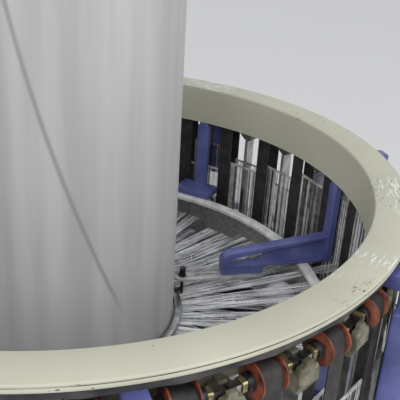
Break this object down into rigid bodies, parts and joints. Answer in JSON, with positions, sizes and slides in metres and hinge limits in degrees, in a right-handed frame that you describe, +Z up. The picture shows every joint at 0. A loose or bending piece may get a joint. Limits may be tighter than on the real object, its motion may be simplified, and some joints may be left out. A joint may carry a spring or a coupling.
{
  "type": "circular loom",
  "caption": "Circular loom: a woven tube rises through a cream ring, over a blue frame with healds on belts and rollers, shuttles, cam wheel and a take-up tower",
  "frame": {"origin": "on the floor, under the loom's vertical axis", "axes": "+Z up along the woven tube; +X from the axis along the ring arm, in the plane of the take-up tower; +Y across it"},
  "size_m": [2.18, 1.86, 2.53],
  "materials": {
    "blue_paint": "semi-gloss, oily",
    "cream_paint": "semi-gloss, chipped",
    "pale_paint": "satin",
    "machined_steel": "machined",
    "black_steel": "blackened",
    "cast_bracket": "cast, oiled",
    "dark_casting": "cast",
    "red_roller": "worn gloss",
    "dark_belt": "matt, oily",
    "bright_ring": "polished",
    "cloth": "woven",
    "tape": "smooth tape",
    "bobbin_yarn": "wound tape",
    "nip_rubber": "matt"
  },
  "bodies": {
    "frame": {"base_frame": "blue_paint", "feet": "dark_casting", "gearbox_housing": "blue_paint", "drive_motor": "blue_paint", "drive_belt": "dark_belt", "bed_ring": "blue_paint", "columns": "blue_paint", "top_ring": "dark_casting", "cover_ring": "cream_paint", "reed_ring_posts": "blue_paint", "ring_arms": "blue_paint", "arm_plates": "machined_steel", "arm_pins": "black_steel", "weaving_ring": "machined_steel", "upper_reed_ring": "pale_paint", "lower_reed_ring": "pale_paint", "lower_reed_arms": "blue_paint", "reed_dents": "machined_steel", "guide_bars": "machined_steel", "roller_brackets": "cast_bracket", "belt_rollers": "red_roller", "heald_belts": "dark_belt", "inlet_ring": "bright_ring", "inlet_ring_brackets": "blue_paint", "warp_tapes_inner": "tape", "warp_tapes_outer": "tape", "fabric_tube": "cloth", "tower_frame": "blue_paint", "take_up_gearmotor": "dark_casting"},
    "rotor": {"main_shaft": "machined_steel", "main_pulley": "dark_casting", "cam_wheel": "dark_casting", "shuttle_drive_spider": "dark_casting", "shuttle_1": "machined_steel", "shuttle_2": "machined_steel", "shuttle_3": "machined_steel", "shuttle_4": "machined_steel"},
    "motor_wheel": {"motor_pulley": "dark_casting"},
    "driven_roller": {"nip_roller_driven": "nip_rubber"},
    "pressing_roller": {"nip_roller_pressing": "nip_rubber"},
    "bobbin_1": {"bobbin_1": "bobbin_yarn"},
    "bobbin_2": {"bobbin_2": "bobbin_yarn"},
    "bobbin_3": {"bobbin_3": "bobbin_yarn"},
    "bobbin_4": {"bobbin_4": "bobbin_yarn"},
    "healds_a1": {"healds_a1": "machined_steel"},
    "healds_b1": {"healds_b1": "machined_steel"},
    "healds_a2": {"healds_a2": "machined_steel"},
    "healds_b2": {"healds_b2": "machined_steel"},
    "healds_a3": {"healds_a3": "machined_steel"},
    "healds_b3": {"healds_b3": "machined_steel"},
    "healds_a4": {"healds_a4": "machined_steel"},
    "healds_b4": {"healds_b4": "machined_steel"},
    "healds_a5": {"healds_a5": "machined_steel"},
    "healds_b5": {"healds_b5": "machined_steel"},
    "healds_a6": {"healds_a6": "machined_steel"},
    "healds_b6": {"healds_b6": "machined_steel"},
    "healds_a7": {"healds_a7": "machined_steel"},
    "healds_b7": {"healds_b7": "machined_steel"},
    "healds_a8": {"healds_a8": "machined_steel"},
    "healds_b8": {"healds_b8": "machined_steel"}
  },
  "joints": [
    {"name": "main_shaft_turn", "type": "hinge", "parent": "frame", "child": "rotor", "pos_m": [0, 0, 0.4], "axis": [0, 0, 1], "continuous": true},
    {"name": "motor_pulley_turn", "type": "hinge", "parent": "frame", "child": "motor_wheel", "pos_m": [0.29698, 0.29698, 0.242], "axis": [0, 0, 1], "continuous": true},
    {"name": "driven_roller_turn", "type": "hinge", "parent": "frame", "child": "driven_roller", "pos_m": [0, -0.0619, 2.35], "axis": [1, 0, 0], "continuous": true},
    {"name": "pressing_roller_turn", "type": "hinge", "parent": "frame", "child": "pressing_roller", "pos_m": [0, 0.0619, 2.35], "axis": [1, 0, 0], "continuous": true},
    {"name": "bobbin_1_turn", "type": "hinge", "parent": "rotor", "child": "bobbin_1", "pos_m": [0.54924, -0.10925, 0.658], "axis": [0.1951, 0.9808, 0], "continuous": true},
    {"name": "bobbin_2_turn", "type": "hinge", "parent": "rotor", "child": "bobbin_2", "pos_m": [0.10925, 0.54924, 0.658], "axis": [-0.9808, 0.1951, 0], "continuous": true},
    {"name": "bobbin_3_turn", "type": "hinge", "parent": "rotor", "child": "bobbin_3", "pos_m": [-0.54924, 0.10925, 0.658], "axis": [-0.1951, -0.9808, 0], "continuous": true},
    {"name": "bobbin_4_turn", "type": "hinge", "parent": "rotor", "child": "bobbin_4", "pos_m": [-0.10925, -0.54924, 0.658], "axis": [0.9808, -0.1951, 0], "continuous": true},
    {"name": "healds_a1_lift", "type": "slide", "parent": "frame", "child": "healds_a1", "axis": [0, 0, 1], "range_m": [-0.16353, 0.00647], "deforming": ["warp_tapes_inner", "warp_tapes_outer"]},
    {"name": "healds_b1_lift", "type": "slide", "parent": "frame", "child": "healds_b1", "axis": [0, 0, 1], "range_m": [-0.00647, 0.16353]},
    {"name": "healds_a2_lift", "type": "slide", "parent": "frame", "child": "healds_a2", "axis": [0, 0, 1], "range_m": [-0.1451, 0.0249]},
    {"name": "healds_b2_lift", "type": "slide", "parent": "frame", "child": "healds_b2", "axis": [0, 0, 1], "range_m": [-0.0249, 0.1451]},
    {"name": "healds_a3_lift", "type": "slide", "parent": "frame", "child": "healds_a3", "axis": [0, 0, 1], "range_m": [-0.11753, 0.05247]},
    {"name": "healds_b3_lift", "type": "slide", "parent": "frame", "child": "healds_b3", "axis": [0, 0, 1], "range_m": [-0.05247, 0.11753]},
    {"name": "healds_a4_lift", "type": "slide", "parent": "frame", "child": "healds_a4", "axis": [0, 0, 1], "range_m": [-0.085, 0.085]},
    {"name": "healds_b4_lift", "type": "slide", "parent": "frame", "child": "healds_b4", "axis": [0, 0, 1], "range_m": [-0.085, 0.085]},
    {"name": "healds_a5_lift", "type": "slide", "parent": "frame", "child": "healds_a5", "axis": [0, 0, 1], "range_m": [-0.05247, 0.11753]},
    {"name": "healds_b5_lift", "type": "slide", "parent": "frame", "child": "healds_b5", "axis": [0, 0, 1], "range_m": [-0.11753, 0.05247]},
    {"name": "healds_a6_lift", "type": "slide", "parent": "frame", "child": "healds_a6", "axis": [0, 0, 1], "range_m": [-0.0249, 0.1451]},
    {"name": "healds_b6_lift", "type": "slide", "parent": "frame", "child": "healds_b6", "axis": [0, 0, 1], "range_m": [-0.1451, 0.0249]},
    {"name": "healds_a7_lift", "type": "slide", "parent": "frame", "child": "healds_a7", "axis": [0, 0, 1], "range_m": [-0.00647, 0.16353]},
    {"name": "healds_b7_lift", "type": "slide", "parent": "frame", "child": "healds_b7", "axis": [0, 0, 1], "range_m": [-0.16353, 0.00647]},
    {"name": "healds_a8_lift", "type": "slide", "parent": "frame", "child": "healds_a8", "axis": [0, 0, 1], "range_m": [0, 0.17]},
    {"name": "healds_b8_lift", "type": "slide", "parent": "frame", "child": "healds_b8", "axis": [0, 0, 1], "range_m": [-0.17, 0]}
  ],
  "couplings": [
    {"joint": "motor_pulley_turn", "follows": "main_shaft_turn", "ratio": 3},
    {"joint": "pressing_roller_turn", "follows": "driven_roller_turn", "ratio": -1},
    {"joint": "healds_b1_lift", "follows": "healds_a1_lift", "ratio": -1},
    {"joint": "healds_b2_lift", "follows": "healds_a2_lift", "ratio": -1},
    {"joint": "healds_b3_lift", "follows": "healds_a3_lift", "ratio": -1},
    {"joint": "healds_b4_lift", "follows": "healds_a4_lift", "ratio": -1},
    {"joint": "healds_b5_lift", "follows": "healds_a5_lift", "ratio": -1},
    {"joint": "healds_b6_lift", "follows": "healds_a6_lift", "ratio": -1},
    {"joint": "healds_b7_lift", "follows": "healds_a7_lift", "ratio": -1},
    {"joint": "healds_b8_lift", "follows": "healds_a8_lift", "ratio": -1}
  ]
}
